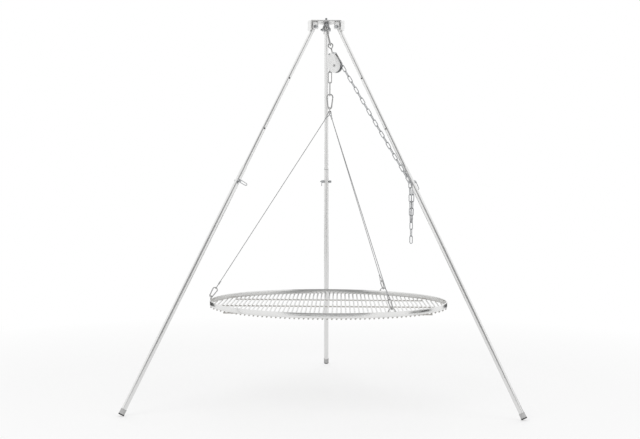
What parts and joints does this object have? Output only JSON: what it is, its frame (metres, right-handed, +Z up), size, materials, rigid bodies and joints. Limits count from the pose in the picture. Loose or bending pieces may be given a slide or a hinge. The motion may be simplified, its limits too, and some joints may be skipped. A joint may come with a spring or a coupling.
{
  "type": "tripod swing grill",
  "caption": "Tripod of folding tube legs with a pulley and chain that hold a round hanging grate on wire ropes over a fire.",
  "frame": {"origin": "on the ground, below the middle of the bounding box", "axes": "+Z up, +Y away from the front view towards the leg at the back, +X to the right towards the leg that holds the chain"},
  "size_m": [1.58, 1.4201, 1.604],
  "materials": {
    "steel": "satin stainless steel",
    "zinc": "bright zinc plated steel",
    "rope": "stranded stainless wire rope",
    "rubber": "matt black moulded cap"
  },
  "bodies": {
    "head": {"head_plate": "steel", "eye_bolt": "zinc", "eye_nut": "zinc", "hinge_bracket_a": "steel", "hinge_bolt_a": "zinc", "hinge_nut_a": "zinc", "hinge_bracket_b": "steel", "hinge_bolt_b": "zinc", "hinge_nut_b": "zinc", "hinge_bracket_c": "steel", "hinge_bolt_c": "zinc", "hinge_nut_c": "zinc"},
    "leg_a": {"upper_tube_a": "steel", "lower_tube_a": "steel", "foot_cap_a": "rubber", "joint_bolt_a": "zinc"},
    "bow_a": {"bow_nut_a": "zinc"},
    "leg_b": {"upper_tube_b": "steel", "lower_tube_b": "steel", "foot_cap_b": "rubber", "joint_bolt_b": "zinc"},
    "bow_b": {"bow_nut_b": "zinc"},
    "leg_c": {"upper_tube_c": "steel", "lower_tube_c": "steel", "foot_cap_c": "rubber", "joint_bolt_c": "zinc"},
    "bow_c": {"bow_nut_c": "zinc"},
    "pulley": {"top_carabiner": "steel", "pulley_swivel": "steel", "pulley_bridge": "steel", "pulley_cheek_front": "steel", "pulley_cheek_back": "steel", "pulley_axle": "zinc", "chain_wrap": "zinc"},
    "wheel": {"pulley_wheel": "zinc"},
    "upper_gate": {"top_gate": "steel"},
    "drop": {"drop_link_upper": "steel", "drop_link_lower": "steel"},
    "lower_hook": {"big_carabiner": "steel"},
    "lower_gate": {"big_gate": "steel"},
    "grate": {"sling_ring": "steel", "hoop": "steel", "grate_rods": "steel", "wire_rope_a": "rope", "snap_hook_a": "steel", "eyelet_a": "steel", "wire_rope_b": "rope", "snap_hook_b": "steel", "eyelet_b": "steel", "wire_rope_c": "rope", "snap_hook_c": "steel", "eyelet_c": "steel"},
    "hook_gate_a": {"snap_gate_a": "steel"},
    "hook_gate_b": {"snap_gate_b": "steel"},
    "hook_gate_c": {"snap_gate_c": "steel"},
    "chain": {"chain_run": "zinc"},
    "tail": {"chain_tail": "zinc"}
  },
  "joints": [
    {"name": "leg_a_fold", "type": "hinge", "parent": "head", "child": "leg_a", "pos_m": [0, -0.142, 1.563], "axis": [-1, 0, 0], "range_deg": [0, 2.9]},
    {"name": "leg_b_fold", "type": "hinge", "parent": "head", "child": "leg_b", "pos_m": [-0.05023, -0.229, 1.563], "axis": [0.5, -0.866, 0], "range_deg": [0, 2.9]},
    {"name": "leg_c_fold", "type": "hinge", "parent": "head", "child": "leg_c", "pos_m": [0.05023, -0.229, 1.563], "axis": [0.5, 0.866, 0], "range_deg": [0, 2.9]},
    {"name": "bow_a_turn", "type": "hinge", "parent": "leg_a", "child": "bow_a", "pos_m": [0, 0.20749, 0.91641], "axis": [-1, 0, 0], "continuous": true},
    {"name": "bow_b_turn", "type": "hinge", "parent": "leg_b", "child": "bow_b", "pos_m": [-0.3529, -0.40375, 0.91641], "axis": [0.5, -0.866, 0], "continuous": true},
    {"name": "bow_c_turn", "type": "hinge", "parent": "leg_c", "child": "bow_c", "pos_m": [0.3529, -0.40375, 0.91641], "axis": [0.5, 0.866, 0], "continuous": true},
    {"name": "pulley_sway", "type": "hinge", "parent": "head", "child": "pulley", "pos_m": [0.00182, -0.2, 1.55472], "axis": [0.4641, -0.2693, -0.8438], "range_deg": [-2, 2]},
    {"name": "wheel_turn", "type": "hinge", "parent": "pulley", "child": "wheel", "pos_m": [0.04027, -0.22325, 1.4014], "axis": [0.5, 0.866, 0], "continuous": true},
    {"name": "drop_swing", "type": "hinge", "parent": "pulley", "child": "drop", "pos_m": [0.01732, -0.21, 1.3757], "axis": [0.5, 0.866, 0], "range_deg": [-3.5, 3.5]},
    {"name": "cross_swing", "type": "hinge", "parent": "drop", "child": "lower_hook", "pos_m": [0.01732, -0.21, 1.27965], "axis": [0.866, -0.5, 0], "range_deg": [-2.5, 2.5]},
    {"name": "grate_turn", "type": "hinge", "parent": "lower_hook", "child": "grate", "pos_m": [0.01732, -0.21, 1.22845], "axis": [0, 0, 1], "range_deg": [-15, 15]},
    {"name": "top_gate_open", "type": "hinge", "parent": "pulley", "child": "upper_gate", "pos_m": [0.01457, -0.19835, 1.50391], "axis": [0.97, 0, 0.2432], "range_deg": [0, 20], "stiffness_Nm_per_rad": 0.04, "springref_deg": -22.92},
    {"name": "big_gate_open", "type": "hinge", "parent": "lower_hook", "child": "lower_gate", "pos_m": [0.02551, -0.21, 1.23537], "axis": [0, -1, 0], "range_deg": [0, 20], "stiffness_Nm_per_rad": 0.03, "springref_deg": -22.92},
    {"name": "snap_gate_a_open", "type": "hinge", "parent": "grate", "child": "hook_gate_a", "pos_m": [0.26206, 0.2139, 0.42925], "axis": [-0.866, 0.5, -0.0038], "range_deg": [0, 18], "stiffness_Nm_per_rad": 0.02, "springref_deg": -22.92},
    {"name": "snap_gate_b_open", "type": "hinge", "parent": "grate", "child": "hook_gate_b", "pos_m": [-0.47215, -0.21, 0.4292], "axis": [0, -1, 0], "range_deg": [0, 18], "stiffness_Nm_per_rad": 0.02, "springref_deg": -22.92},
    {"name": "snap_gate_c_open", "type": "hinge", "parent": "grate", "child": "hook_gate_c", "pos_m": [0.26206, -0.6339, 0.42925], "axis": [0.866, 0.5, 0.0038], "range_deg": [0, 18], "stiffness_Nm_per_rad": 0.02, "springref_deg": -22.92},
    {"name": "chain_run_follow", "type": "hinge", "parent": "leg_c", "child": "chain", "pos_m": [0.3529, -0.40375, 0.91641], "axis": [0.5, 0.866, 0], "range_deg": [0, 0.7]},
    {"name": "tail_swing", "type": "hinge", "parent": "leg_c", "child": "tail", "pos_m": [0.3529, -0.40375, 0.91641], "axis": [0.5, 0.866, 0], "range_deg": [-5, 10]}
  ],
  "couplings": [
    {"joint": "chain_run_follow", "follows": "leg_c_fold", "ratio": 0.2167}
  ]
}
